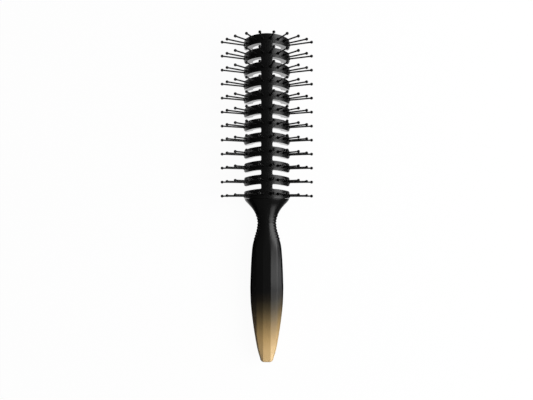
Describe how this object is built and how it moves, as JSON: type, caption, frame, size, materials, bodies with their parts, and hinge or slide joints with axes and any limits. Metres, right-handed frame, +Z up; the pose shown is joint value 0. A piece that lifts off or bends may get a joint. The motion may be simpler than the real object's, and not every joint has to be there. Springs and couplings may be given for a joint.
{
  "type": "vent brush",
  "caption": "Half-round vent brush with arched open ribs, fanned ball-tipped pins and a faceted handle with a ridged neck.",
  "frame": {"origin": "middle of the footprint, on the surface that the brush lies on with its back down", "axes": "+X across the brush to the right seen from the pins, +Y along it from the butt to the tip of the head, +Z up through the pins"},
  "size_m": [0.066, 0.235, 0.0382],
  "materials": {
    "head": "satin",
    "handle": "satin lacquer, black that fades to champagne gold at the butt",
    "retainer": "satin",
    "pins": "smooth nylon"
  },
  "bodies": {
    "root": {"head_frame": "head", "handle": "handle", "pin_retainer": "retainer", "bristle_row_01": "pins", "bristle_row_02": "pins", "bristle_row_03": "pins", "bristle_row_04": "pins", "bristle_row_05": "pins", "bristle_row_06": "pins", "bristle_row_07": "pins", "bristle_row_08": "pins", "bristle_row_09": "pins", "bristle_row_10": "pins", "bristle_row_11": "pins", "bristle_row_12": "pins"}
  },
  "joints": []
}
